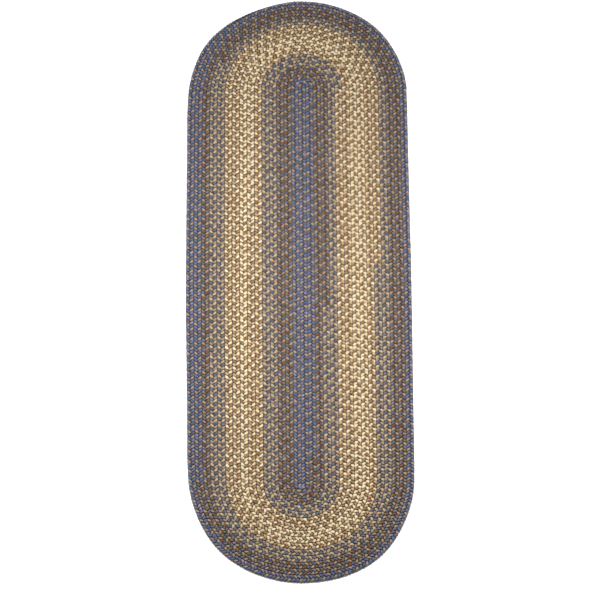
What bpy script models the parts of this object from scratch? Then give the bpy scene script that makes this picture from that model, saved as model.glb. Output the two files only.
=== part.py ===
"""A long oval braided rug: one flat braid wound clockwise from the middle and sewn row to row.

Metres, +Z up. The long side runs along Y, the underside lies on Z = 0 and the plan is centred
on the origin. The braid starts at the far end of the middle line and runs to the near end.
Each turn is then the near end, the left side, the far end and the right side, and the last
row dies away round the far left shoulder. The rows are raised as ribs on both faces.
"""

import math

import bmesh
import bpy

# Driving dimensions
RUG_LENGTH = 1.829
RUG_WIDTH = 0.610
RUG_HEIGHT = 0.0095
ROWS_ACROSS = 30
END_PULL = 0.062  # share of the row pitch by which rows close up at the tip of each end

# Steps along one turn of the braid
LEGS = 4  # right side, near end, left side, far end
SIDE_STEPS = 4
END_STEPS = 16
TURN_STEPS = 2 * (SIDE_STEPS + END_STEPS)
NEAR_END, LEFT_SIDE, FAR_END = SIDE_STEPS, SIDE_STEPS + END_STEPS, 2 * SIDE_STEPS + END_STEPS

# The braid's dying tail, in steps along the last far end
LAST_TURN = ROWS_ACROSS // 2 - 1
TAIL_START = LAST_TURN * TURN_STEPS + FAR_END + 2
TAIL_END = LAST_TURN * TURN_STEPS + FAR_END + 7

# Across one row: the side runs from -0.5 at its inner seam to 0.5 at its outer seam
TOP_SEAM_DEPTH = 0.0028
UNDER_SEAM_DEPTH = 0.0022
RIM_SIDE = 0.46  # where the rounded rim begins on the outermost row
TOP_RIB = (
    # side, depth below the top
    (-0.30, 0.0006),
    (0.00, 0.0000),
    (0.30, 0.0006),
)
UNDER_RIB = (
    # side, height above the floor
    (-0.27, 0.0000),
    (0.27, 0.0000),
)

# How far the outline leaves an even oval. The leg is 0 right, 1 near end, 2 left, 3 far end.
UNEVENNESS = (
    # leg, share of the leg, outward in metres
    (0, 0.08, -0.0035),
    (0, 0.50, -0.0010),
    (0, 0.92, -0.0025),
    (1, 0.10, -0.0055),
    (1, 0.30, 0.0040),
    (1, 0.50, 0.0000),
    (1, 0.70, -0.0015),
    (1, 0.90, -0.0080),
    (2, 0.08, 0.0010),
    (2, 0.50, 0.0060),
    (2, 0.92, 0.0035),
    (3, 0.10, -0.0055),
    (3, 0.30, -0.0035),
    (3, 0.50, 0.0040),
    (3, 0.70, 0.0010),
    (3, 0.90, -0.0065),
)

# Yarn colours, from the middle row outwards, each up to the step where the next set begins
BANDS = (
    # name, last turn, last step of that turn, colour
    ("slate_blue_heart", 1, 4, (0.17, 0.16, 0.20)),
    ("brown_ring", 3, 2, (0.19, 0.15, 0.12)),
    ("mixed_ring", 5, 0, (0.26, 0.21, 0.16)),
    ("sand_band", 6, 23, (0.44, 0.33, 0.20)),
    ("cream_band", 8, 15, (0.56, 0.43, 0.27)),
    ("outer_sand_band", 10, 2, (0.44, 0.33, 0.20)),
    ("outer_mixed_ring", 11, 26, (0.26, 0.21, 0.16)),
    ("outer_brown_ring", 13, 20, (0.19, 0.15, 0.12)),
    ("slate_blue_border", 15, 0, (0.17, 0.16, 0.20)),
)

YARN_ROUGHNESS = 0.85
SHARP_ANGLE = math.radians(40)

# Worked out from the above
PITCH = RUG_WIDTH / ROWS_ACROSS
PULL = END_PULL * PITCH
NEAR_ROWS = ROWS_ACROSS / 2
FAR_ROWS = NEAR_ROWS - 0.5
STRAIGHT = (RUG_LENGTH - (NEAR_ROWS + FAR_ROWS) * (PITCH - PULL)) / 2
TOP_SEAM = RUG_HEIGHT - TOP_SEAM_DEPTH


def eased(share):
    """A share from 0 to 1 with a soft start and end: 3 s^2 - 2 s^3."""
    return share * share * (3 - 2 * share)


def leg_of(station):
    """The leg of a turn that a station from 0 to TURN_STEPS lies on, and its share of it."""
    if station < NEAR_END:
        return 0, station / SIDE_STEPS
    if station < LEFT_SIDE:
        return 1, (station - NEAR_END) / END_STEPS
    if station < FAR_END:
        return 2, (station - LEFT_SIDE) / SIDE_STEPS
    return 3, (station - FAR_END) / END_STEPS


def outward_drift(leg, share):
    """How far the outermost row stands outside an even oval, eased between the table's rows."""
    place = leg + share
    marks = [(row_leg + row_share, out) for row_leg, row_share, out in UNEVENNESS]
    before_first = (marks[-1][0] - LEGS, marks[-1][1])
    after_last = (marks[0][0] + LEGS, marks[0][1])
    marks = [before_first, *marks, after_last]
    for (start, before), (end, after) in zip(marks, marks[1:]):
        if start <= place <= end:
            return before + (after - before) * eased((place - start) / (end - start))
    raise ValueError(f"no mark around {place}")


def plan_point(step, side):
    """X and Y of a place on the braid.

    Rows on the sides are straight. The far ends are half circles round X = 0 and the near
    ends half circles round X = -PITCH / 2, which winds the rows into one spiral. Each row's
    half circle starts PULL nearer the middle than the one inside it.
    """
    turn, station = divmod(step, TURN_STEPS)
    leg, share = leg_of(station)
    right = turn + side
    near = right + 0.5
    left = right + 1
    far_start = STRAIGHT - PULL * right
    near_y = PULL * near - STRAIGHT
    far_end = STRAIGHT - PULL * left
    angle = math.pi * share
    if leg == 0:
        x, y = right * PITCH, far_start + (near_y - far_start) * share
        out = (1, 0)
    elif leg == 1:
        out = (math.cos(angle), -math.sin(angle))
        x, y = near * PITCH * out[0] - PITCH / 2, near * PITCH * out[1] + near_y
    elif leg == 2:
        x, y = -left * PITCH, near_y + (far_end - near_y) * share
        out = (-1, 0)
    else:
        out = (-math.cos(angle), math.sin(angle))
        x, y = left * PITCH * out[0], left * PITCH * out[1] + far_end
    drift = outward_drift(leg, share) * (near / NEAR_ROWS) ** 2
    return x + out[0] * drift, y + out[1] * drift


def tail_width(step):
    """The braid's width as a share of its full width: 1 up to the tail, then eased to 0."""
    if step <= TAIL_START:
        return 1.0
    return 1 - eased((step - TAIL_START) / (TAIL_END - TAIL_START))


def outer_side(step):
    """The side of the row's outer edge: its seam, or where the rim begins on the last turn."""
    return RIM_SIDE if step >= TAIL_END - TURN_STEPS else 0.5


def true_side(step, side):
    """The side after the tail's narrowing, which draws the row in to its inner seam."""
    return (side + 0.5) * tail_width(step) - 0.5


def shared_edge(step):
    """The edge that stands for a row's outer edge at a step, where edges coincide.

    Below step 0 the edges are the inner ones of the first turn. The middle row and the row
    beside it share theirs, and they pivot on one point. The tail ends on the row inside it.
    """
    if step == TAIL_END:
        return step - TURN_STEPS
    station = step + TURN_STEPS
    if 0 <= station < NEAR_END:
        return FAR_END - station - TURN_STEPS
    if NEAR_END <= station <= LEFT_SIDE:
        return LEFT_SIDE - TURN_STEPS
    return step


class Face:
    """One face of the rug, top or under: its corners, and the quads that join them."""

    def __init__(self, mesh, rib, seam_height, is_top):
        self.mesh = mesh
        self.rib = rib
        self.seam_height = seam_height
        self.is_top = is_top
        self.edges = {}

    def corner(self, step, side, height):
        """A new corner, whose rise from the seam's height fades with the tail."""
        rise = (height - self.seam_height) * math.sqrt(tail_width(step))
        x, y = plan_point(step, true_side(step, side))
        return self.mesh.verts.new((x, y, self.seam_height + rise))

    def edge(self, step):
        """The corner on a row's outer seam or rim, made once for the rows that share it."""
        step = shared_edge(step)
        if step not in self.edges:
            self.edges[step] = self.corner(step, outer_side(step), self.seam_height)
        return self.edges[step]

    def section(self, step):
        """The corners across the braid at a step, from the inner edge to the outer."""
        inner = self.edge(step - TURN_STEPS)
        outer = self.edge(step)
        if step == TAIL_END:
            return [inner] * (len(self.rib) + 2)
        return [inner] + [self.corner(step, side, height) for side, height in self.rib] + [outer]

    def fill(self, corners, band):
        """A face through the corners, without those that repeat, pointing out of the rug."""
        single = [c for i, c in enumerate(corners) if c not in corners[:i]]
        if len(single) > 2:
            face = self.mesh.faces.new(single if self.is_top else reversed(single))
            face.material_index = band

    def strip(self, before, after, band):
        """The quads between two sections of the braid."""
        for i in range(len(before) - 1):
            self.fill((before[i], after[i], after[i + 1], before[i + 1]), band)

    def rounded_start(self, first):
        """The braid's rounded start: rings round its first section's middle."""
        start = plan_point(0, 0)
        around = [(first[1], first[0])]
        for step in range(1, END_STEPS):
            seam = self.edge(step - END_STEPS)
            share = self.rib[-1][0] / 0.5
            height = first[1].co.z
            x = start[0] + (seam.co.x - start[0]) * share
            y = start[1] + (seam.co.y - start[1]) * share
            around.append((self.mesh.verts.new((x, y, height)), seam))
        around.append((first[-2], first[-1]))
        for (inner, seam), (next_inner, next_seam) in zip(around, around[1:]):
            self.fill((inner, seam, next_seam, next_inner), 0)
        middle = first[2:-2]
        self.fill([inner for inner, seam in around] + middle, 0)


def band_of(step):
    """The number of the colour band that a step lies in."""
    for number, (name, turn, station, colour) in enumerate(BANDS):
        if step < turn * TURN_STEPS + station:
            return number
    return len(BANDS) - 1


def make_materials(rug):
    """One plain yarn material for each colour band."""
    for name, turn, station, colour in BANDS:
        material = bpy.data.materials.new(name)
        material.use_nodes = True
        shader = material.node_tree.nodes["Principled BSDF"]
        shader.inputs["Base Color"].default_value = (*colour, 1)
        shader.inputs["Roughness"].default_value = YARN_ROUGHNESS
        shader.inputs["Metallic"].default_value = 0.0
        rug.materials.append(material)


def make_rim(mesh, top, under):
    """The rounded rim: two strips from the top face to the under face round the outline."""
    ring = []
    for step in range(TAIL_END - TURN_STEPS, TAIL_END):
        x, y = plan_point(step, true_side(step, 0.5))
        ring.append((top.edge(step), mesh.verts.new((x, y, RUG_HEIGHT / 2)), under.edge(step)))
    for i, (high, middle, low) in enumerate(ring):
        next_high, next_middle, next_low = ring[(i + 1) % len(ring)]
        for face in (
            mesh.faces.new((high, next_high, next_middle, middle)),
            mesh.faces.new((middle, next_middle, next_low, low)),
        ):
            face.material_index = len(BANDS) - 1


def centre_plan(mesh):
    """Moves the mesh so that the middle of its plan's box is at X = 0 and Y = 0."""
    for axis in (0, 1):
        places = [corner.co[axis] for corner in mesh.verts]
        middle = (min(places) + max(places)) / 2
        for corner in mesh.verts:
            corner.co[axis] -= middle


def make_rug():
    """The whole rug as one closed body."""
    mesh = bmesh.new()
    top_rib = [(side, RUG_HEIGHT - depth) for side, depth in TOP_RIB]
    top = Face(mesh, top_rib, TOP_SEAM, is_top=True)
    under = Face(mesh, UNDER_RIB, UNDER_SEAM_DEPTH, is_top=False)
    for face in (top, under):
        before = face.section(0)
        face.rounded_start(before)
        for step in range(1, TAIL_END + 1):
            after = face.section(step)
            face.strip(before, after, band_of(step - 1))
            before = after
    make_rim(mesh, top, under)
    centre_plan(mesh)
    bmesh.ops.recalc_face_normals(mesh, faces=mesh.faces)
    bmesh.ops.triangulate(mesh, faces=mesh.faces)

    rug = bpy.data.meshes.new("braided_rug")
    make_materials(rug)
    mesh.to_mesh(rug)
    mesh.free()
    rug.shade_smooth()
    rug.set_sharp_from_angle(angle=SHARP_ANGLE)
    return rug


def main():
    for old in list(bpy.data.objects):
        bpy.data.objects.remove(old)
    rug = bpy.data.objects.new("braided_rug", make_rug())
    bpy.context.scene.collection.objects.link(rug)


main()
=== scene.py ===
"""Dresses a long oval braided rug: three yarn strands, braided flat, wound into a spiral and sewn.

Metres, +Z up, in the frame of the packed model, whose plan is centred on the origin. A place on
the braid is counted in turns from its start at the far end of the middle line. Each turn has
four legs: the right side, the near end, the left side and the far end. A side counts rows
outwards from the braid's own middle line, so that 0.5 is its outer seam.
"""

import math

import bpy
import numpy as np
from bpy.props import (
    FloatProperty,
    FloatVectorProperty,
    IntProperty,
    PointerProperty,
)
from mathutils import Color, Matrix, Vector


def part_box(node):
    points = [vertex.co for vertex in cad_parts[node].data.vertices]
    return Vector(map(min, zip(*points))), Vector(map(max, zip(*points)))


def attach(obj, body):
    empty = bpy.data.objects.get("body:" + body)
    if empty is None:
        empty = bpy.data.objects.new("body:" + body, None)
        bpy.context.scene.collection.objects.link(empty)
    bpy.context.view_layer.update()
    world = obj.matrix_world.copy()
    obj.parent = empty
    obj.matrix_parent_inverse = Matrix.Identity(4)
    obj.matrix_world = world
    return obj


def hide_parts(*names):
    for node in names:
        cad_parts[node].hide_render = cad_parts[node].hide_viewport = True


bl_info = {
    "name": "Braided Rug",
    "version": (1, 0, 0),
    "blender": (4, 5, 0),
    "location": "3D View > Sidebar > Rug",
    "description": "Builds the strands, the sewing and the studio of a long oval braided rug",
    "category": "Mesh",
}

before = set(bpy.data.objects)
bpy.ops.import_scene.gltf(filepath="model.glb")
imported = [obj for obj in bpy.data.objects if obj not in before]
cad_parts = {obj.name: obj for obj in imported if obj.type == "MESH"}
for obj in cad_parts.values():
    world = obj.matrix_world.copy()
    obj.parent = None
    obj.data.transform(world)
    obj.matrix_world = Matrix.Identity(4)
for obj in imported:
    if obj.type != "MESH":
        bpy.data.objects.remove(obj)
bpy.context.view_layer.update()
NODE = "braided_rug"
BODY = "root"
LOW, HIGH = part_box(NODE)

LEGS = 4
RIGHT_SIDE, NEAR_END, LEFT_SIDE, FAR_END = range(LEGS)
STRANDS = 3
TURN = 2 * math.pi

# How far the outermost row stands outside an even oval
UNEVENNESS = (
    # leg, share of the leg, outward in metres
    (RIGHT_SIDE, 0.08, -0.0035),
    (RIGHT_SIDE, 0.50, -0.0010),
    (RIGHT_SIDE, 0.92, -0.0025),
    (NEAR_END, 0.10, -0.0055),
    (NEAR_END, 0.30, 0.0040),
    (NEAR_END, 0.50, 0.0000),
    (NEAR_END, 0.70, -0.0015),
    (NEAR_END, 0.90, -0.0080),
    (LEFT_SIDE, 0.08, 0.0010),
    (LEFT_SIDE, 0.50, 0.0060),
    (LEFT_SIDE, 0.92, 0.0035),
    (FAR_END, 0.10, -0.0055),
    (FAR_END, 0.30, -0.0035),
    (FAR_END, 0.50, 0.0040),
    (FAR_END, 0.70, 0.0010),
    (FAR_END, 0.90, -0.0065),
)

# Where one of the strands is spliced to the next yarn, on the way from the middle outwards
SPLICES = {
    # name: turn, leg, share of the leg
    "heart_ends": (1, RIGHT_SIDE, 0.94),
    "brown_ring_ends": (3, RIGHT_SIDE, 0.56),
    "mixed_ring_ends": (5, RIGHT_SIDE, 0.00),
    "sand_band_ends": (6, LEFT_SIDE, 0.64),
    "cream_band_ends": (8, NEAR_END, 0.68),
    "outer_sand_ends": (10, RIGHT_SIDE, 0.45),
    "outer_mixed_ends": (11, FAR_END, 0.13),
    "outer_brown_ends": (13, LEFT_SIDE, 0.00),
    "tail_narrows": (14, FAR_END, 0.125),
    "tail_ends": (14, FAR_END, 0.4375),
}

# The yarn lengths that each strand is spliced from, in order
YARN_LENGTHS = (
    # strand, piece, yarn, splice that ends it
    (0, "first_strand_blue_heart", "blue_yarn", "heart_ends"),
    (0, "first_strand_brown_ring", "brown_yarn", "brown_ring_ends"),
    (0, "first_strand_cream", "cream_yarn", "outer_mixed_ends"),
    (0, "first_strand_outer_brown", "brown_yarn", "outer_brown_ends"),
    (0, "first_strand_blue_border", "blue_yarn", "tail_ends"),
    (1, "second_strand_fleck", "fleck_yarn", "sand_band_ends"),
    (1, "second_strand_cream", "cream_yarn", "cream_band_ends"),
    (1, "second_strand_outer_fleck", "fleck_yarn", "tail_ends"),
    (2, "third_strand_slate", "slate_yarn", "mixed_ring_ends"),
    (2, "third_strand_tan", "tan_yarn", "outer_sand_ends"),
    (2, "third_strand_outer_slate", "slate_yarn", "tail_ends"),
)

WARM_YARNS = ("cream_yarn", "tan_yarn")
PLUMPNESS = {"cream_yarn": 1.12, "tan_yarn": 0.86}  # how wide these lie against the others

# Bands by the splices round them: where the cream strand is oatmeal, and where flecks are paler
MIXED_RINGS = (("brown_ring_ends", "mixed_ring_ends"), ("outer_sand_ends", "outer_mixed_ends"))
SAND_BANDS = (("mixed_ring_ends", "sand_band_ends"), ("cream_band_ends", "outer_sand_ends"))

# The rings of a strand's tube over one braid period, closest together where it lies on top
RING_PHASES = np.radians((0, 24, 45, 66, 90, 135, 180, 204, 225, 246, 270, 315))
RING_SIDES = 7
HIDDEN_PHASE = 5  # the ring in the middle of a stitch under the rug, where splices are made
SPARE_PERIODS = 2  # laid past the braid's end, and cut off
SPARE_STITCHES = 2  # with noise of their own, before the first stitch and past the last
THINNEST_START = 0.05  # least share of a strand's section at the braid's round start
LINE_SAMPLES = 60_000  # along the braid's middle line, to measure it
OUTLINE_SAMPLES = 4000  # once round the rug

# How far a fully uneven stitch strays from its even form
SLIP = 0.0009  # along the braid, in metres
SWAY = 0.0003  # across it
LIFT = 0.0002  # up or down
SWELL = 0.09  # share of its width

FULL_TURNS = 15  # turns over which the winding map runs from 0 to 1
BAKE_EDGE = 0.0015  # clear edge of each strip on the bake map, as a share of its side
CAP_RADIUS = 0.0005  # of the small ring of places that each end face has on a map


class RugWinding(bpy.types.PropertyGroup):
    """How the braid is wound."""

    length: FloatProperty(name="Length", description="Even oval's length", default=1.829,
                          unit="LENGTH")
    width: FloatProperty(name="Width", description="Even oval's width", default=0.610,
                         unit="LENGTH")
    rows: IntProperty(name="Rows", description="Rows of braid across the rug", default=30)
    end_pull: FloatProperty(name="End Pull", default=0.062, subtype="FACTOR",
                            description="Share of the pitch by which rows close up at each end")
    height: FloatProperty(name="Height", description="Thickness of the braid",
                          default=HIGH.z - LOW.z, unit="LENGTH")


class RugBraid(bpy.types.PropertyGroup):
    """The sizes of the flat three-strand braid."""

    period: FloatProperty(name="Period", default=0.0303, unit="LENGTH",
                          description="Length of braid in which a strand comes back to its place")
    reach: FloatProperty(name="Reach", default=0.0081, unit="LENGTH",
                         description="How far a strand's middle swings to each side")
    half_width: FloatProperty(name="Half Width", default=0.0038, unit="LENGTH",
                              description="Half of a strand's width where it lies flat")
    half_depth: FloatProperty(name="Half Depth", default=0.0023, unit="LENGTH",
                              description="Half of a strand's thickness where it lies flat")
    pinch: FloatProperty(name="Pinch", default=0.30, subtype="FACTOR",
                         description="How much a strand narrows where it dives under another")
    edge_pinch: FloatProperty(name="Edge Pinch", default=0.10, subtype="FACTOR",
                              description="How much a strand narrows where it turns back")
    unevenness: FloatProperty(name="Unevenness", default=1.0, subtype="FACTOR",
                              description="Share of the full unevenness from stitch to stitch")
    seed: IntProperty(name="Seed", description="Seed of the unevenness", default=7)


class RugColours(bpy.types.PropertyGroup):
    """The yarns' colours."""

    blue: FloatVectorProperty(name="Blue", description="Blue yarn", subtype="COLOR",
                              size=4, default=(0.064, 0.089, 0.196, 1))
    slate: FloatVectorProperty(name="Slate", description="Greyer blue of the third strand",
                               subtype="COLOR", size=4, default=(0.074, 0.081, 0.121, 1))
    brown: FloatVectorProperty(name="Brown", description="Brown yarn", subtype="COLOR",
                               size=4, default=(0.126, 0.071, 0.027, 1))
    cream: FloatVectorProperty(name="Cream", description="Cream yarn", subtype="COLOR",
                               size=4, default=(0.522, 0.414, 0.254, 1))
    oatmeal: FloatVectorProperty(name="Oatmeal", subtype="COLOR", size=4,
                                 description="The cream strand in the mixed rings",
                                 default=(0.322, 0.242, 0.135, 1))
    fleck: FloatVectorProperty(name="Fleck", subtype="COLOR", size=4,
                               description="Pale parts of the flecked yarn",
                               default=(0.247, 0.190, 0.144, 1))
    sand_lift: FloatVectorProperty(name="Sand Lift", default=(1.54, 1.45, 1.17),
                                   description="How much paler the flecks are in a sand band")
    tan: FloatVectorProperty(name="Tan", description="Tan yarn", subtype="COLOR",
                             size=4, default=(0.228, 0.144, 0.063, 1))
    peach: FloatVectorProperty(name="Peach", description="Peach parts of the flecked yarn",
                               subtype="COLOR", size=4, default=(0.262, 0.155, 0.109, 1))
    rust: FloatVectorProperty(name="Rust", description="Rust parts of the flecked yarn",
                              subtype="COLOR", size=4, default=(0.134, 0.058, 0.040, 1))
    olive: FloatVectorProperty(name="Olive", description="Olive parts of the flecked yarn",
                               subtype="COLOR", size=4, default=(0.154, 0.131, 0.070, 1))
    hue_spread: FloatProperty(name="Hue Spread", default=0.055, subtype="FACTOR",
                              description="How far the hues of blue, slate and brown stray")
    # The sewing sheet's colour: the thread, and painted shade in the gaps between stitches
    thread: FloatVectorProperty(name="Thread", description="Dark sewing thread",
                                subtype="COLOR", size=4, default=(0.044, 0.028, 0.018, 1))


class RugStudio(bpy.types.PropertyGroup):
    """The lights and the camera."""

    elevation: FloatProperty(name="Elevation", description="Camera above the horizon",
                             default=math.radians(59.6), subtype="ANGLE")
    yaw: FloatProperty(name="Yaw", description="Camera turned to the right",
                       default=math.radians(0.42), subtype="ANGLE")
    distance: FloatProperty(name="Distance", description="Camera to the rug", default=16.0,
                            unit="LENGTH")
    lens: FloatProperty(name="Lens", description="Focal length in millimetres", default=353.5)
    key: FloatProperty(name="Key Light", description="Power of the overhead light",
                       default=58.0, unit="POWER")
    sky: FloatProperty(name="Sky", description="Strength of the even light from all round",
                       default=0.25)


# ---------------- the winding


def eased(share):
    """A share from 0 to 1 with a soft start and end: 3 s^2 - 2 s^3."""
    return share * share * (3 - 2 * share)


def place_of(turn, leg, share):
    """A place on the braid in turns, where each leg is a quarter of a turn."""
    return turn + (leg + share) / LEGS


def outward_drift(leg_place):
    """How far the outermost row stands outside an even oval: eased between the table's marks."""
    marks = np.array([leg + share for leg, share, out in UNEVENNESS])
    drifts = np.array([out for leg, share, out in UNEVENNESS])
    marks = np.concatenate([[marks[-1] - LEGS], marks, [marks[0] + LEGS]])
    drifts = np.concatenate([[drifts[-1]], drifts, [drifts[0]]])
    below = np.clip(np.searchsorted(marks, leg_place, side="right") - 1, 0, len(marks) - 2)
    share = (leg_place - marks[below]) / (marks[below + 1] - marks[below])
    return drifts[below] + (drifts[below + 1] - drifts[below]) * eased(share)


def plan(winding, place, side):
    """X, Y and the outward direction of places on the braid.

    On the sides X is the row number times the pitch, and Y runs evenly from end to end. The
    far ends are half circles round X = 0 and the near ends half circles round X = -pitch / 2,
    each starting end_pull of a pitch nearer the middle than the one inside it. The drift is
    added along the outward direction, with the square of the row's share of the width.
    """
    pitch = winding.width / winding.rows
    pull = winding.end_pull * pitch
    near_rows = winding.rows / 2
    far_rows = near_rows - 0.5
    straight = (winding.length - (near_rows + far_rows) * (pitch - pull)) / 2

    turn = np.maximum(np.floor(place), 0)
    leg_place = (place - turn) * LEGS
    leg = np.clip(np.floor(leg_place), 0, LEGS - 1)
    share = leg_place - leg
    right = turn + side
    near = right + 0.5
    left = right + 1
    far_start = straight - pull * right
    near_y = pull * near - straight
    far_end = straight - pull * left
    cos, sin = np.cos(np.pi * share), np.sin(np.pi * share)
    legs = [leg == RIGHT_SIDE, leg == NEAR_END, leg == LEFT_SIDE, leg == FAR_END]
    x = np.select(legs, [right * pitch, near * pitch * cos - pitch / 2, -left * pitch,
                         -left * pitch * cos])
    y = np.select(legs, [far_start + (near_y - far_start) * share,
                         near_y - near * pitch * sin,
                         near_y + (far_end - near_y) * share,
                         far_end + left * pitch * sin])
    ones = np.ones_like(cos)
    out_x = np.select(legs, [ones, cos, -ones, -cos])
    out_y = np.select(legs, [0 * ones, -sin, 0 * ones, sin])
    drift = outward_drift(np.clip(leg_place, 0, LEGS)) * (near / near_rows) ** 2
    return x + out_x * drift, y + out_y * drift, out_x, out_y


def tail_width(place):
    """The braid's width as a share of its full width: 1 up to the tail, then eased to 0."""
    start, end = (place_of(*SPLICES[name]) for name in ("tail_narrows", "tail_ends"))
    return 1 - eased(np.clip((place - start) / (end - start), 0, 1))


def outline(winding):
    """The rug's outline once round: X, Y and outward direction at the last row's outer seam."""
    end = place_of(*SPLICES["tail_ends"])
    place = np.linspace(end - 1, end, OUTLINE_SAMPLES, endpoint=False)
    return plan(winding, place, tail_width(place) - 0.5)


def plan_shift(winding):
    """What centres the outline's box on the packed model's box."""
    x, y, out_x, out_y = outline(winding)
    middle = (LOW + HIGH) / 2
    return middle.x - (x.min() + x.max()) / 2, middle.y - (y.min() + y.max()) / 2


class MiddleLine:
    """The braid's middle line, measured: places against lengths in metres."""

    def __init__(self, winding):
        self.places = np.linspace(0, place_of(*SPLICES["tail_ends"]), LINE_SAMPLES)
        side = tail_width(self.places) / 2 - 0.5
        x, y, out_x, out_y = plan(winding, self.places, side)
        steps = np.hypot(np.diff(x), np.diff(y))
        self.runs = np.concatenate([[0], np.cumsum(steps)])
        self.first_speed = self.runs[1] / self.places[1]

    def place_at(self, run):
        """The place at a length from the start, with the first leg carried on before 0."""
        return np.where(run < 0, run / self.first_speed, np.interp(run, self.runs, self.places))

    def run_at(self, place):
        """The length from the start at a place."""
        return float(np.interp(place, self.places, self.runs))


# ---------------- the strands


def stitch_noise(rng, stitches, stitch, amount):
    """Seeded values for each stitch, evenly spread to either side of 0, eased between them."""
    values = rng.uniform(-amount, amount, stitches + 2)
    below = np.clip(np.floor(stitch).astype(int), 0, stitches)
    share = eased(np.clip(stitch - below, 0, 1))
    return values[below] + (values[below + 1] - values[below]) * share


def strand_path(context, line, number):
    """The rings of one strand from the braid's start to its tail.

    With the phase p, which turns once a period: the strand's middle swings sin(p) times the
    reach to the side and sin(2 p) times the rise up, so that it climbs over the others from
    the braid's middle to its edge and dives under them on the way back. Its section is an
    oval. It lies flat from edge to edge, and rolls half a turn round each edge, as a folded
    ribbon does. It is widest in the middle of a stitch and pinched where it dives. Seeded
    noises slip, sway, lift and swell each stitch.
    """
    winding, braid = context.scene.rug_winding, context.scene.rug_braid
    pitch = winding.width / winding.rows
    half_height = winding.height / 2
    rise = half_height - braid.half_depth
    round_start = pitch / 2 - braid.half_depth
    lag = number / STRANDS

    periods = math.ceil(line.runs[-1] / braid.period) + SPARE_PERIODS
    phase = (TURN * np.arange(-1, periods)[:, None] + RING_PHASES).ravel()
    run = braid.period * (phase / TURN + lag)
    kept = (run > -round_start) & (run < line.runs[-1] - braid.half_depth)
    ring = np.arange(len(phase))[kept]
    phase, run = phase[kept], run[kept]

    rng = np.random.default_rng(braid.seed + number)
    stitches = 2 * (periods + SPARE_STITCHES)
    stitch = phase / (TURN / 2) + SPARE_STITCHES
    uneven = braid.unevenness
    slip = stitch_noise(rng, stitches, stitch, SLIP * uneven)
    sway = stitch_noise(rng, stitches, stitch, SWAY * uneven)
    lift = stitch_noise(rng, stitches, stitch, LIFT * uneven)
    plump = 1 + stitch_noise(rng, stitches, stitch, SWELL * uneven)

    place = line.place_at(run + slip)
    narrow = tail_width(place)
    begin = np.sqrt(np.clip(1 - (run / round_start) ** 2, THINNEST_START, 1))
    share = np.where(run < 0, begin, np.sqrt(narrow))
    swing = (braid.reach + sway) * np.sin(phase) / pitch
    side = (swing * np.where(run < 0, begin, 1) + 0.5) * narrow - 0.5
    x, y, out_x, out_y = plan(winding, place, side)
    shift_x, shift_y = plan_shift(winding)
    height = LOW.z + half_height + (rise * np.sin(2 * phase) + lift) * share
    middle = np.stack([x + shift_x, y + shift_y, height], 1)

    along = np.gradient(middle, run, axis=0)
    along /= np.linalg.norm(along, axis=1, keepdims=True)
    edge = np.clip(np.sqrt(2) * np.cos(phase), -1, 1)
    roll = (TURN / 4) * (1 - np.sin(TURN / 4 * edge))
    thin = np.stack([np.sin(roll) * out_x, np.sin(roll) * out_y, np.cos(roll)], 1)
    thin -= (thin * along).sum(1, keepdims=True) * along
    thin /= np.linalg.norm(thin, axis=1, keepdims=True)
    wide = np.cross(along, thin)

    dive = np.clip(np.cos(2 * phase), 0, 1)
    turn_back = np.clip(-np.cos(2 * phase), 0, 1)
    narrowing = braid.pinch * dive + braid.edge_pinch * turn_back
    half_width = braid.half_width * (1 - narrowing) * plump * share
    half_depth = braid.half_depth * (1 - narrowing / 2) * share
    return {"place": place, "run": run, "ring": ring, "swing": np.sin(phase),
            "middle": middle, "wide": wide, "thin": thin,
            "half_width": half_width, "half_depth": half_depth}


def splice_rings(path, line, number):
    """For each yarn length of a strand: its piece, its yarn and its first and last ring.

    A splice is moved to the nearest ring in the middle of a stitch under the rug.
    """
    under = np.flatnonzero(path["ring"] % len(RING_PHASES) == HIDDEN_PHASE)
    first = 0
    found = []
    for strand, piece, yarn, splice in YARN_LENGTHS:
        if strand != number:
            continue
        last = len(path["run"]) - 1
        if splice != "tail_ends":
            run = line.run_at(place_of(*SPLICES[splice]))
            last = under[np.abs(path["run"][under] - run).argmin()]
        found.append((piece, yarn, first, last))
        first = last
    return found


def strip_map(rings, sides, length, girth):
    """Places on a square map for a long tube's corners, as strips that fill it.

    The tube is cut along its length into as many strips as keep its shape, one above the
    other, each with a clear edge. It returns the map's across and up for the near and far
    ring of each quad, and for both of its sides.
    """
    strips = max(1, round(math.sqrt(length / girth)))
    per_strip = math.ceil(rings / strips)
    ring = np.arange(rings)
    strip, place = ring // per_strip, ring % per_strip
    across = [BAKE_EDGE + (1 - 2 * BAKE_EDGE) * (place + end) / per_strip for end in (0, 1)]
    bottom = strip / strips + BAKE_EDGE
    tall = 1 / strips - 2 * BAKE_EDGE
    around = np.arange(sides) / sides
    up = [bottom[:, None] + tall * (around + end / sides) for end in (0, 1)]
    return across, up


def tube_faces(count):
    """The faces of a tube with so many rings: quads ring by ring, then its two flat ends."""
    sides = RING_SIDES
    ring, side = np.meshgrid(np.arange(count - 1), np.arange(sides), indexing="ij")
    after = (side + 1) % sides
    quads = np.stack([ring * sides + side, (ring + 1) * sides + side,
                      (ring + 1) * sides + after, ring * sides + after], -1).reshape(-1, 4)
    start_cap = np.arange(sides)
    end_cap = (count - 1) * sides + np.arange(sides)[::-1]
    loops = np.concatenate([quads.ravel(), start_cap, end_cap])
    starts = np.concatenate([np.arange(len(quads)) * 4, len(quads) * 4 + np.array([0, sides])])
    totals = np.concatenate([np.full(len(quads), 4), [sides, sides]])
    return loops, starts, totals


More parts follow.
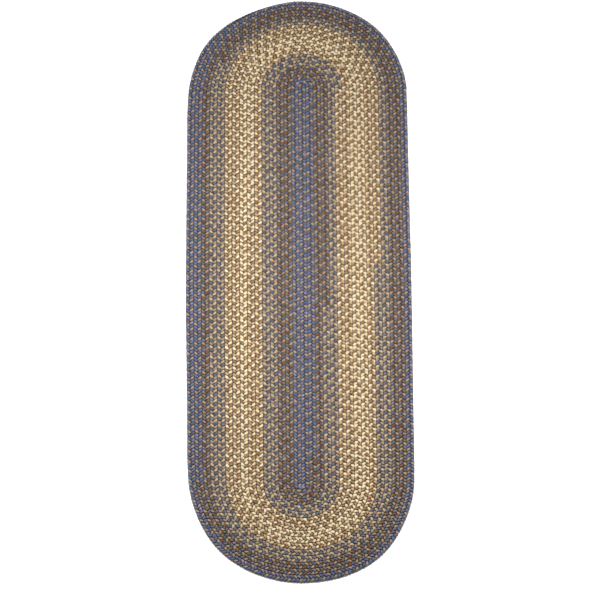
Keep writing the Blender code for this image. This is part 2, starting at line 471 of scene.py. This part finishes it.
def tube_mesh(name, path, first, last, plumpness):
    """A closed tube through a strand's rings from the first to the last, with its three maps.

    A corner is the ring's middle, plus the half width times cos(a) along the wide direction,
    plus the half depth times sin(a) along the thin direction, for even steps of a from a
    quarter step on. The plumpness widens the whole tube. No corner lies below the floor. Each
    end is one flat face.
    """
    part = slice(first, last + 1)
    middle, wide, thin = (path[key][part] for key in ("middle", "wide", "thin"))
    half_width, half_depth = path["half_width"][part] * plumpness, path["half_depth"][part]
    count, sides = len(middle), RING_SIDES
    angle = TURN * (np.arange(sides) + 0.25) / sides
    corners = (
        middle[:, None]
        + (half_width[:, None] * np.cos(angle))[..., None] * wide[:, None]
        + (half_depth[:, None] * np.sin(angle))[..., None] * thin[:, None]
    )
    corners[..., 2] = np.maximum(corners[..., 2], LOW.z)

    loops, starts, totals = tube_faces(count)
    mesh = bpy.data.meshes.new(name)
    mesh.vertices.add(count * sides)
    mesh.vertices.foreach_set("co", corners.astype(np.float32).ravel())
    mesh.loops.add(len(loops))
    mesh.loops.foreach_set("vertex_index", loops.astype(np.int32))
    mesh.polygons.add(len(starts))
    mesh.polygons.foreach_set("loop_start", starts.astype(np.int32))
    mesh.polygons.foreach_set("loop_total", totals.astype(np.int32))
    mesh.update(calc_edges=True)

    steps = np.linalg.norm(np.diff(middle, axis=0), axis=1)
    run = np.concatenate([[0], np.cumsum(steps)])
    add_yarn_map(mesh, run)
    add_winding_map(mesh, np.stack([path["place"][part] / FULL_TURNS, path["swing"][part]], 1))
    add_bake_map(mesh, count - 1, run[-1], math.pi * float((half_width + half_depth).mean()))
    mesh.shade_smooth()
    return mesh


def add_map(mesh, name, places, ends):
    """Gives a tube a named map. Its end faces get a small ring of places each."""
    angle = TURN * np.arange(RING_SIDES) / RING_SIDES
    ring = CAP_RADIUS * np.stack([np.cos(angle), np.sin(angle)], 1)
    places = np.concatenate([places.reshape(-1, 2), *(np.array(end) + ring for end in ends)])
    layer = mesh.uv_layers.new(name=name)
    layer.uv.foreach_set("vector", places.astype(np.float32).ravel())


def add_yarn_map(mesh, run):
    """Metres along the yarn, and shares of the way round it."""
    near, far = (np.repeat(part[:, None], RING_SIDES, 1) for part in (run[:-1], run[1:]))
    low = np.repeat(np.arange(RING_SIDES)[None] / RING_SIDES, len(near), 0)
    high = low + 1 / RING_SIDES
    places = np.stack([near, low, far, low, far, high, near, high], -1)
    add_map(mesh, "yarn", places, [[run[0], 0.5], [run[-1], 0.5]])


def add_winding_map(mesh, places):
    """Turns of the winding as a share of the full ones, and the strand's swing from -1 to 1."""
    near, far = (np.repeat(part[:, None], RING_SIDES, 1) for part in (places[:-1], places[1:]))
    add_map(mesh, "winding", np.stack([near, far, far, near], 2), places[[0, -1]])


def add_bake_map(mesh, rings, length, girth):
    """The square that looks are baked on."""
    across, up = strip_map(rings, RING_SIDES, length, girth)
    near, far = (np.repeat(end[:, None], RING_SIDES, 1) for end in across)
    places = np.stack([near, up[0], far, up[0], far, up[1], near, up[1]], -1)
    add_map(mesh, "OFBake", places,
            [[across[0][0], up[0][0, 0]], [across[1][-1], up[0][-1, 0]]])


def show(name, data):
    """An object in the scene, of a mesh, a light or a camera."""
    thing = bpy.data.objects.new(name, data)
    bpy.context.scene.collection.objects.link(thing)
    return thing


def add_piece(mesh, material):
    """Shows a mesh as a piece of the rug, in one material."""
    piece = show(mesh.name, mesh)
    mesh.materials.append(material)
    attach(piece, BODY)
    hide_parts(NODE)
    return piece


def build_strand(context, number):
    """Makes the yarn lengths of one strand."""
    line = MiddleLine(context.scene.rug_winding)
    path = strand_path(context, line, number)
    for name, yarn, first, last in splice_rings(path, line, number):
        mesh = tube_mesh(name, path, first, last, PLUMPNESS.get(yarn, 1.0))
        add_piece(mesh, yarn_material(context, yarn))


# ---------------- the sewing, whose dark sheet is also painted shade in the gaps


def web_mesh(context, inset=0.0065, half_thickness=0.0006, rows=140, columns=24,
             first_angle=0.03):
    """A thin closed sheet at mid height, inside the outline: the sewing between rows, whose
    dark thread colour is also painted shade in the gaps between stitches.

    For each of many lines across the rug it has the outline's left and right X at that Y, and
    even steps between them. A line's Y goes with the cosine of even angles from just over 0
    to just under half a turn, so that lines are closest together at the rounded ends.
    """
    winding = context.scene.rug_winding
    shift_x, shift_y = plan_shift(winding)
    x, y, out_x, out_y = outline(winding)
    x, y = x - out_x * inset + shift_x, y - out_y * inset + shift_y
    near, far = y.argmin(), y.argmax()
    loop = np.arange(len(x))
    sides = [(loop - start) % len(x) <= (end - start) % len(x)
             for start, end in ((near, far), (far, near))]
    level = (y.min() + y.max()) / 2 - (y.max() - y.min()) / 2 * np.cos(
        np.linspace(first_angle, math.pi - first_angle, rows))
    edges = []
    for part in sides:
        order = np.argsort(y[part])
        edges.append(np.interp(level, y[part][order], x[part][order]))
    share = np.linspace(0, 1, columns)
    flat_x = edges[0][:, None] + (edges[1] - edges[0])[:, None] * share
    flat_y = np.repeat(level[:, None], columns, 1)
    mid = (LOW.z + HIGH.z) / 2
    layers = [np.stack([flat_x, flat_y, np.full_like(flat_x, mid + up * half_thickness)], -1)
              for up in (-1, 1)]
    points = np.concatenate([layer.reshape(-1, 3) for layer in layers])

    index = np.arange(rows * columns).reshape(rows, columns)
    top = index + rows * columns
    quads = [np.stack([top[:-1, :-1], top[:-1, 1:], top[1:, 1:], top[1:, :-1]], -1),
             np.stack([index[:-1, :-1], index[1:, :-1], index[1:, 1:], index[:-1, 1:]], -1)]
    rim = np.concatenate([index[0, :-1], index[:-1, -1], index[-1, :0:-1], index[:0:-1, 0]])
    after = np.roll(rim, -1)
    upper = rows * columns
    quads = [part.reshape(-1, 4) for part in quads]
    quads.append(np.stack([rim, after, after + upper, rim + upper], -1))
    mesh = bpy.data.meshes.new("sewing_web")
    mesh.from_pydata(points.tolist(), [], np.concatenate(quads).tolist())
    mesh.update()
    return mesh


# ---------------- the yarns

WHITE = (1.0, 1.0, 1.0, 1.0)
PLIES = 6.0
TWIST = 150.0  # plies that a metre straight along a yarn crosses
PLY_STEP = 7.3  # how far apart two plies lie in the noise that colours them
FIBRE_GRAIN = (260.0, 5.0)  # how often fibres change in a metre of yarn, and over a ply
FIBRE_HEIGHT = 0.35  # against a ply's
YARN_RELIEF = 0.0004  # in metres
YARN_BUMP = 0.8
YARN_ROUGHNESS = 0.9
YARN_SHEEN = 0.12
SHEEN_ROUGHNESS = 0.5
SPECULAR = 0.25

# Ranges for remap: from low, from high, to low, to high
FIBRE_TONE = (0.35, 0.7, 0.8, 1.12)
# Painted shade in the grooves between plies
PLY_GROOVE_SHADE = (0.0, 0.6, 0.7, 1.0)
FIBRE_ROUGHNESS = (0.3, 0.7, 0.98, 0.82)
HEATHER_SPREAD = (0.36, 0.64, 0.0, 1.0)
RIM_SWING = (0.70, 0.90, 0.0, 1.0)
THREAD_BLEND = (0.35, 0.65, 0.0, 1.0)

# Four of a yarn's five shades: turn of the hue in spreads, strength and lightness
SHADES = ((0, 1.1, 0.6), (-1, 1.1, 0.95), (0, 1.0, 1.0), (1, 0.95, 1.0))
PALEST_STRENGTH = 0.7  # of the fifth, whose lightness goes by the yarn
PALEST = {"blue_yarn": 1.7, "slate_yarn": 1.7, "brown_yarn": 1.7, "tan_yarn": 1.5,
          "cream_yarn": 1.03}
WARM_HUE_SPREAD = 0.015  # of the warm yarns

# Painted shade between stitches: heights off the rug's mid height, as shares of its thickness,
# and its darkest colour, tinted warm in the pale yarns as painted bounced light
SEAM_SHADE_DARK = 0.16
WARM_SEAM_SHADE = (0.26, (0.05, 0.026, 0.012, 1.0))  # where the painted shade ends, and its darkest colour
COOL_SEAM_SHADE = (0.32, (0.02, 0.012, 0.008, 1.0))

THREAD_SLANT = (0.0, 0.0, 0.6)
THREAD_GRAIN = (900.0, 220.0, 1.0)  # changes in a metre across the stitches and along them
THREAD_TONES = (0.6, 1.5)  # against the thread's colour
THREAD_RELIEF = 0.0003  # in metres
THREAD_ROUGHNESS = 0.92


def new_group(name, inputs, outputs):
    """An empty shader node group with named float, vector or colour sockets."""
    group = bpy.data.node_groups.new(name, "ShaderNodeTree")
    for label, kind, default in inputs:
        socket = group.interface.new_socket(label, in_out="INPUT", socket_type=kind)
        if default is not None:
            socket.default_value = default
    for label, kind in outputs:
        group.interface.new_socket(label, in_out="OUTPUT", socket_type=kind)
    entry = group.nodes.new("NodeGroupInput")
    exit_node = group.nodes.new("NodeGroupOutput")
    return group, entry, exit_node


def feed(tree, socket, value):
    """Links another socket to an input, or sets the input to a number or a colour."""
    if isinstance(value, bpy.types.NodeSocket):
        tree.links.new(value, socket)
    else:
        socket.default_value = value


def math_node(tree, operation, *values):
    """A maths node on one to three values, each a socket or a number."""
    node = tree.nodes.new("ShaderNodeMath")
    node.operation = operation
    for socket, value in zip(node.inputs, values):
        feed(tree, socket, value)
    return node.outputs[0]


def combine(tree, x, y, z=0.0):
    """A vector from three values, each a socket or a number."""
    node = tree.nodes.new("ShaderNodeCombineXYZ")
    for socket, value in zip(node.inputs, (x, y, z)):
        feed(tree, socket, value)
    return node.outputs[0]


def noise_on(tree, vector, detail=2.0, roughness=0.5):
    """A noise from about 0 to 1 on a vector that is already scaled."""
    node = tree.nodes.new("ShaderNodeTexNoise")
    node.inputs["Scale"].default_value = 1.0
    node.inputs["Detail"].default_value = detail
    node.inputs["Roughness"].default_value = roughness
    tree.links.new(vector, node.inputs["Vector"])
    return node.outputs["Fac"]


def remap(tree, value, low, high, to_low, to_high):
    """A value carried from one range to another and held inside it, with soft ends."""
    node = tree.nodes.new("ShaderNodeMapRange")
    node.interpolation_type = "SMOOTHSTEP"
    for socket, number in zip(node.inputs, (value, low, high, to_low, to_high)):
        feed(tree, socket, number)
    return node.outputs["Result"]


def mix_colours(tree, share, first, second):
    """Two colours mixed by a share. Each is a socket or a colour."""
    node = tree.nodes.new("ShaderNodeMix")
    node.data_type = "RGBA"
    colours = [socket for socket in node.inputs if socket.type == "RGBA"]
    for socket, value in zip((node.inputs[0], *colours), (share, first, second)):
        feed(tree, socket, value)
    return next(socket for socket in node.outputs if socket.type == "RGBA")


def product(tree, first, second):
    """A colour socket times another, channel by channel."""
    node = tree.nodes.new("ShaderNodeVectorMath")
    node.operation = "MULTIPLY"
    tree.links.new(first, node.inputs[0])
    tree.links.new(second, node.inputs[1])
    return node.outputs[0]


def plies_group():
    """Shader group: the plies of a yarn, and the fibres on them.

    A ply is the whole part of around x plies + along x twist. Across it the height is
    1 - (2 f - 1)^2, where f is the fraction left over. Fibres are a noise drawn out along it,
    and a share of that is added to the height.
    """
    name = "Yarn Plies"
    if name in bpy.data.node_groups:
        return bpy.data.node_groups[name]
    tree, entry, leave = new_group(
        name,
        [("Along", "NodeSocketFloat", 0.0), ("Around", "NodeSocketFloat", 0.0),
         ("Plies", "NodeSocketFloat", PLIES), ("Twist", "NodeSocketFloat", TWIST)],
        [("Height", "NodeSocketFloat"), ("Ply", "NodeSocketFloat"),
         ("Fibre", "NodeSocketFloat")],
    )
    along, around, plies, twist = entry.outputs[:4]
    turned = math_node(tree, "ADD", math_node(tree, "MULTIPLY", around, plies),
                       math_node(tree, "MULTIPLY", along, twist))
    number = math_node(tree, "FLOORED_MODULO", math_node(tree, "FLOOR", turned), plies)
    off_middle = math_node(tree, "MULTIPLY_ADD", math_node(tree, "FRACT", turned), 2.0, -1.0)
    round_ply = math_node(tree, "SUBTRACT", 1.0, math_node(tree, "POWER", math_node(
        tree, "ABSOLUTE", off_middle), 2.0))
    along_grain, across_grain = FIBRE_GRAIN
    fibre = noise_on(tree, combine(tree, math_node(tree, "MULTIPLY", along, along_grain),
                                   math_node(tree, "MULTIPLY", turned, across_grain), number),
                     detail=3.0, roughness=0.6)
    raised = math_node(tree, "MULTIPLY_ADD", fibre, FIBRE_HEIGHT, round_ply)
    tree.links.new(raised, leave.inputs["Height"])
    tree.links.new(number, leave.inputs["Ply"])
    tree.links.new(fibre, leave.inputs["Fibre"])
    return tree


def heather_group():
    """Shader group: where each bit of a yarn lies in its range of colours, from 0 to 1.

    A slow noise changes from stitch to stitch, and a quick one from ply to ply. The result is
    their mean, spread out.
    """
    name = "Heathered Yarn"
    if name in bpy.data.node_groups:
        return bpy.data.node_groups[name]
    tree, entry, leave = new_group(
        name,
        [("Along", "NodeSocketFloat", 0.0), ("Ply", "NodeSocketFloat", 0.0),
         ("Seed", "NodeSocketFloat", 0.0), ("Slow", "NodeSocketFloat", 60.0),
         ("Quick", "NodeSocketFloat", 170.0)],
        [("Blend", "NodeSocketFloat")],
    )
    along, ply, seed, slow, quick = entry.outputs[:5]
    stitches = noise_on(tree, combine(tree, math_node(tree, "MULTIPLY", along, slow), seed),
                        detail=1.0)
    streaks = noise_on(tree, combine(tree, math_node(tree, "MULTIPLY", along, quick),
                                     math_node(tree, "MULTIPLY", ply, PLY_STEP), seed),
                       detail=1.0)
    mean = math_node(tree, "MULTIPLY", math_node(tree, "ADD", stitches, streaks), 0.5)
    tree.links.new(remap(tree, mean, *HEATHER_SPREAD), leave.inputs["Blend"])
    return tree


def seam_group():
    """Shader group: painted shade between stitches.

    The colour is multiplied by the darkest one up to the dark height above or below the mid
    height, by white from the unshaded height on, and by a soft blend between. Where the rim mask
    is 1 it is multiplied by white, so no shade is painted there.
    """
    name = "Seam Shade"
    if name in bpy.data.node_groups:
        return bpy.data.node_groups[name]
    tree, entry, leave = new_group(
        name,
        [("Colour", "NodeSocketColor", None), ("Mid Height", "NodeSocketFloat", 0.0),
         ("Dark Height", "NodeSocketFloat", 0.002), ("Clean Height", "NodeSocketFloat", 0.004),
         ("Darkest", "NodeSocketColor", None), ("Rim", "NodeSocketFloat", 0.0)],
        [("Colour", "NodeSocketColor")],
    )
    colour, mid_height, dark_height, unshaded_height, darkest, rim = entry.outputs[:6]
    place = tree.nodes.new("ShaderNodeTexCoord")
    apart = tree.nodes.new("ShaderNodeSeparateXYZ")
    tree.links.new(place.outputs["Object"], apart.inputs[0])
    off = math_node(tree, "ABSOLUTE", math_node(tree, "SUBTRACT", apart.outputs[2], mid_height))
    share = remap(tree, off, dark_height, unshaded_height, 0.0, 1.0)
    unshaded = math_node(tree, "MAXIMUM", share, rim)
    shade = mix_colours(tree, unshaded, darkest, WHITE)
    tree.links.new(product(tree, colour, shade), leave.inputs["Colour"])
    return tree


def place_group(tree, group, **links):
    """A group node in a material, with each named input set or linked."""
    node = tree.nodes.new("ShaderNodeGroup")
    node.node_tree = group
    for label, value in links.items():
        feed(tree, node.inputs[label.replace("_", " ")], value)
    return node


def new_material(name, roughness, sheen):
    """A material with only its Principled shader, whose constant sockets are set."""
    material = bpy.data.materials.new(name)
    material.use_nodes = True
    shader = material.node_tree.nodes["Principled BSDF"]
    shader.inputs["Roughness"].default_value = roughness
    shader.inputs["Sheen Weight"].default_value = sheen
    shader.inputs["Sheen Roughness"].default_value = SHEEN_ROUGHNESS
    shader.inputs["Specular IOR Level"].default_value = SPECULAR
    return material, material.node_tree, shader


def tinted(colour, factor):
    """A colour times a factor, with no channel over 1."""
    return [min(1.0, channel * factor) for channel in colour[:3]] + [1.0]


def map_values(tree, name):
    """The two values of a named map."""
    source = tree.nodes.new("ShaderNodeUVMap")
    source.uv_map = name
    apart = tree.nodes.new("ShaderNodeSeparateXYZ")
    tree.links.new(source.outputs[0], apart.inputs[0])
    return apart.outputs[:2]


def rim_mask(tree):
    """A mask that rises to 1 where the last turn rolls over its outer edge, which keeps the
    painted seam shade off it.
    """
    place, swing = map_values(tree, "winding")
    start = (place_of(*SPLICES["tail_narrows"]) - 1) / FULL_TURNS
    return math_node(tree, "MULTIPLY", math_node(tree, "GREATER_THAN", place, start),
                     remap(tree, swing, *RIM_SWING))


def band_mask(tree, bands):
    """A mask of 1 in some bands of the rug. Each band is a pair of the splices round it."""
    place, swing = map_values(tree, "winding")
    mask = 0.0
    for band in bands:
        after_start, after_end = (
            math_node(tree, "GREATER_THAN", place, place_of(*SPLICES[splice]) / FULL_TURNS)
            for splice in band)
        mask = math_node(tree, "ADD", mask,
                         math_node(tree, "SUBTRACT", after_start, after_end))
    return mask


def yarn_shades(colour, hue_spread, palest):
    """Five shades of a yarn: a dark one, the colour between two hues, and a pale one."""
    hue, saturation, value = Color(colour[:3]).hsv
    shades = []
    for turn, strength, lightness in (*SHADES, (0, PALEST_STRENGTH, palest)):
        shade = Color()
        shade.hsv = ((hue + turn * hue_spread) % 1, min(1, saturation * strength),
                     min(1, value * lightness))
        shades.append((*shade, 1.0))
    return shades


def shade_ramp(tree, blend, shades):
    """A colour taken from evenly spaced shades by a value from 0 to 1."""
    ramp = tree.nodes.new("ShaderNodeValToRGB")
    tree.links.new(blend, ramp.inputs[0])
    stops = ramp.color_ramp.elements
    while len(stops) < len(shades):
        stops.new(0.5)
    for number, (stop, shade) in enumerate(zip(stops, shades)):
        stop.position = number / (len(shades) - 1)
        stop.color = shade
    return ramp.outputs["Color"]


def scaled(tree, colour, factor):
    """A colour socket times a factor, which is a socket."""
    node = tree.nodes.new("ShaderNodeVectorMath")
    node.operation = "SCALE"
    tree.links.new(colour, node.inputs[0])
    tree.links.new(factor, node.inputs["Scale"])
    return node.outputs[0]


def yarn_colour(tree, colours, yarn, blend):
    """The colour of a yarn, from the value that spreads over its shades."""
    if yarn == "fleck_yarn":
        shades = [colours.rust, colours.peach, colours.fleck, colours.peach, colours.fleck,
                  colours.olive, colours.fleck, colours.tan]
        lift = mix_colours(tree, band_mask(tree, SAND_BANDS), WHITE, (*colours.sand_lift, 1.0))
        return product(tree, shade_ramp(tree, blend, shades), lift)
    hue_spread = WARM_HUE_SPREAD if yarn in WARM_YARNS else colours.hue_spread
    if yarn == "cream_yarn":
        cream, oatmeal = (shade_ramp(tree, blend, yarn_shades(colour, hue_spread, PALEST[yarn]))
                          for colour in (colours.cream, colours.oatmeal))
        return mix_colours(tree, band_mask(tree, MIXED_RINGS), cream, oatmeal)
    colour = getattr(colours, yarn.removesuffix("_yarn"))
    return shade_ramp(tree, blend, yarn_shades(colour, hue_spread, PALEST[yarn]))


def add_relief(tree, shader, height, distance, strength=1.0):
    """Raises a material's surface by a height socket, through a Bump node."""
    bump = tree.nodes.new("ShaderNodeBump")
    bump.inputs["Strength"].default_value = strength
    bump.inputs["Distance"].default_value = distance
    tree.links.new(height, bump.inputs["Height"])
    tree.links.new(bump.outputs[0], shader.inputs["Normal"])


def yarn_material(context, yarn):
    """The procedural material of one yarn, made once."""
    if yarn in bpy.data.materials:
        return bpy.data.materials[yarn]
    colours, winding = context.scene.rug_colours, context.scene.rug_winding
    material, tree, shader = new_material(yarn, YARN_ROUGHNESS, YARN_SHEEN)
    along, around = map_values(tree, "yarn")
    plies = place_group(tree, plies_group(), Along=along, Around=around, Plies=PLIES,
                        Twist=TWIST)
    raised, ply, fibre = (plies.outputs[label] for label in ("Height", "Ply", "Fibre"))
    heather = place_group(tree, heather_group(), Along=along, Ply=ply,
                          Seed=float(len(bpy.data.materials)))
    # Random fibre tone, times painted shade in the grooves between plies
    colour = scaled(tree, yarn_colour(tree, colours, yarn, heather.outputs["Blend"]),
                    math_node(tree, "MULTIPLY", remap(tree, fibre, *FIBRE_TONE),
                              remap(tree, raised, *PLY_GROOVE_SHADE)))
    # Painted shade between stitches, lighter and warmer in the pale yarns
    unshaded, darkest = WARM_SEAM_SHADE if yarn in WARM_YARNS else COOL_SEAM_SHADE
    seam = place_group(tree, seam_group(), Colour=colour, Mid_Height=(LOW.z + HIGH.z) / 2,
                       Clean_Height=winding.height * unshaded,
                       Dark_Height=winding.height * SEAM_SHADE_DARK, Darkest=darkest,
                       Rim=rim_mask(tree))
    tree.links.new(seam.outputs[0], shader.inputs["Base Color"])
    tree.links.new(remap(tree, fibre, *FIBRE_ROUGHNESS), shader.inputs["Roughness"])
    add_relief(tree, shader, raised, YARN_RELIEF, YARN_BUMP)
    return material


def thread_material(context):
    """The dark sewing thread, whose colour is also painted shade in the gaps between stitches:
    fine slanting stitches in two tones.
    """
    material, tree, shader = new_material("sewing_thread", THREAD_ROUGHNESS, sheen=0.0)
    place = tree.nodes.new("ShaderNodeTexCoord")
    turn = tree.nodes.new("ShaderNodeMapping")
    turn.inputs["Rotation"].default_value = THREAD_SLANT
    turn.inputs["Scale"].default_value = THREAD_GRAIN
    tree.links.new(place.outputs["Object"], turn.inputs["Vector"])
    strands = noise_on(tree, turn.outputs[0], detail=2.0)
    dark, light = (tinted(context.scene.rug_colours.thread, tone) for tone in THREAD_TONES)
    colour = mix_colours(tree, remap(tree, strands, *THREAD_BLEND), dark, light)
    tree.links.new(colour, shader.inputs["Base Color"])
    add_relief(tree, shader, strands, THREAD_RELIEF)
    return material


# ---------------- the studio

FLOOR_REACH = 12.0  # from the middle to each side
FLOOR_PAINT = (0.98, 0.98, 0.98, 1)
FLOOR_ROUGHNESS = 0.8
SOFTBOX_SIZE = 1.2
SOFTBOX_PLACE = (0.0, -0.10, 1.4)
SOFTBOX_TARGET = (0.0, -0.10, 0.0)
CAMERA_TARGET = (0.00335, -0.0520)  # on the rug at mid height
CAMERA_SENSOR = 36.0  # in millimetres
CAMERA_SIGHT = 100.0  # how far it sees


def floor_paint():
    """The floor's matt white paint."""
    material = bpy.data.materials.new("floor_paint")
    material.use_nodes = True
    shader = material.node_tree.nodes["Principled BSDF"]
    shader.inputs["Base Color"].default_value = FLOOR_PAINT
    shader.inputs["Roughness"].default_value = FLOOR_ROUGHNESS
    return material


def add_floor():
    """A wide white floor under the rug."""
    mesh = bpy.data.meshes.new("floor")
    corners = [(x * FLOOR_REACH, y * FLOOR_REACH, LOW.z)
               for x, y in ((-1, -1), (1, -1), (1, 1), (-1, 1))]
    mesh.from_pydata(corners, [], [(0, 1, 2, 3)])
    mesh.materials.append(floor_paint())
    floor = show("floor", mesh)


def aim(thing, place, direction):
    """Puts a light or a camera in its place and turns it to a direction."""
    thing.location = place
    thing.rotation_mode = "QUATERNION"
    thing.rotation_quaternion = direction.to_track_quat("-Z", "Y")


def add_softbox(power):
    """A square area light low over the rug, facing down."""
    lamp = bpy.data.lights.new("overhead_light", "AREA")
    lamp.shape = "SQUARE"
    lamp.size = SOFTBOX_SIZE
    lamp.energy = power
    beam = Vector(SOFTBOX_TARGET) - Vector(SOFTBOX_PLACE)
    aim(show("overhead_light", lamp), SOFTBOX_PLACE, beam)


def add_sky(strength):
    """Even white light from all round."""
    world = bpy.data.worlds.new("studio")
    world.use_nodes = True
    back = world.node_tree.nodes["Background"]
    back.inputs["Color"].default_value = WHITE
    back.inputs["Strength"].default_value = strength
    bpy.context.scene.world = world


def add_camera(studio):
    """A long lens that looks down on the rug from its near end."""
    camera = bpy.data.cameras.new("camera")
    camera.lens = studio.lens
    camera.sensor_width = CAMERA_SENSOR
    camera.clip_end = CAMERA_SIGHT
    shot = show("camera", camera)
    cos = math.cos(studio.elevation)
    back = Vector((-math.sin(studio.yaw) * cos, -math.cos(studio.yaw) * cos,
                   math.sin(studio.elevation)))
    target = Vector((*CAMERA_TARGET, (LOW.z + HIGH.z) / 2))
    aim(shot, target + back * studio.distance, -back)
    bpy.context.scene.camera = shot


# ---------------- the add-on


class RUG_OT_first_strand(bpy.types.Operator):
    """Build the first strand: blue, brown, cream, brown and blue"""

    bl_idname = "rug.first_strand"
    bl_label = "First Strand"

    def execute(self, context):
        build_strand(context, 0)
        return {"FINISHED"}


class RUG_OT_second_strand(bpy.types.Operator):
    """Build the second strand: flecked, cream and flecked"""

    bl_idname = "rug.second_strand"
    bl_label = "Second Strand"

    def execute(self, context):
        build_strand(context, 1)
        return {"FINISHED"}


class RUG_OT_third_strand(bpy.types.Operator):
    """Build the third strand: slate, tan and slate"""

    bl_idname = "rug.third_strand"
    bl_label = "Third Strand"

    def execute(self, context):
        build_strand(context, 2)
        return {"FINISHED"}


# The sewing between rows, as a dark sheet that is also painted shade in the gaps between stitches
class RUG_OT_sewing(bpy.types.Operator):
    bl_idname = "rug.sewing"
    bl_label = "Sewing"

    def execute(self, context):
        web = add_piece(web_mesh(context), thread_material(context))
        return {"FINISHED"}


class RUG_OT_studio(bpy.types.Operator):
    """Build the floor, the softbox, the even light and the camera"""

    bl_idname = "rug.studio"
    bl_label = "Studio"

    def execute(self, context):
        studio = context.scene.rug_studio
        add_floor()
        add_softbox(studio.key)
        add_sky(studio.sky)
        add_camera(studio)
        context.scene.view_settings.view_transform = "Standard"
        return {"FINISHED"}


class RUG_PT_panel(bpy.types.Panel):
    """The rug's operators and sizes in the sidebar"""

    bl_label = "Braided Rug"
    bl_idname = "RUG_PT_panel"
    bl_space_type = "VIEW_3D"
    bl_region_type = "UI"
    bl_category = "Rug"

    def draw(self, context):
        for group_name, group in GROUPS.items():
            box = self.layout.box()
            box.label(text=group.__doc__)
            for name in group.__annotations__:
                box.prop(getattr(context.scene, group_name), name)
        for operator in OPERATORS:
            self.layout.operator(operator.bl_idname)


# The groups of settings, by the names under which a scene holds them
GROUPS = {
    "rug_winding": RugWinding,
    "rug_braid": RugBraid,
    "rug_colours": RugColours,
    "rug_studio": RugStudio,
}
OPERATORS = (
    RUG_OT_first_strand,
    RUG_OT_second_strand,
    RUG_OT_third_strand,
    RUG_OT_sewing,
    RUG_OT_studio,
)


def register():
    for kind in (*GROUPS.values(), *OPERATORS, RUG_PT_panel):
        bpy.utils.register_class(kind)
    for name, group in GROUPS.items():
        setattr(bpy.types.Scene, name, PointerProperty(type=group))


def unregister():
    for name in GROUPS:
        delattr(bpy.types.Scene, name)
    for kind in (RUG_PT_panel, *OPERATORS, *GROUPS.values()):
        bpy.utils.unregister_class(kind)


def main():
    register()
    bpy.ops.rug.first_strand()
    bpy.ops.rug.second_strand()
    bpy.ops.rug.third_strand()
    bpy.ops.rug.sewing()
    bpy.ops.rug.studio()


if __name__ == "__main__":
    main()
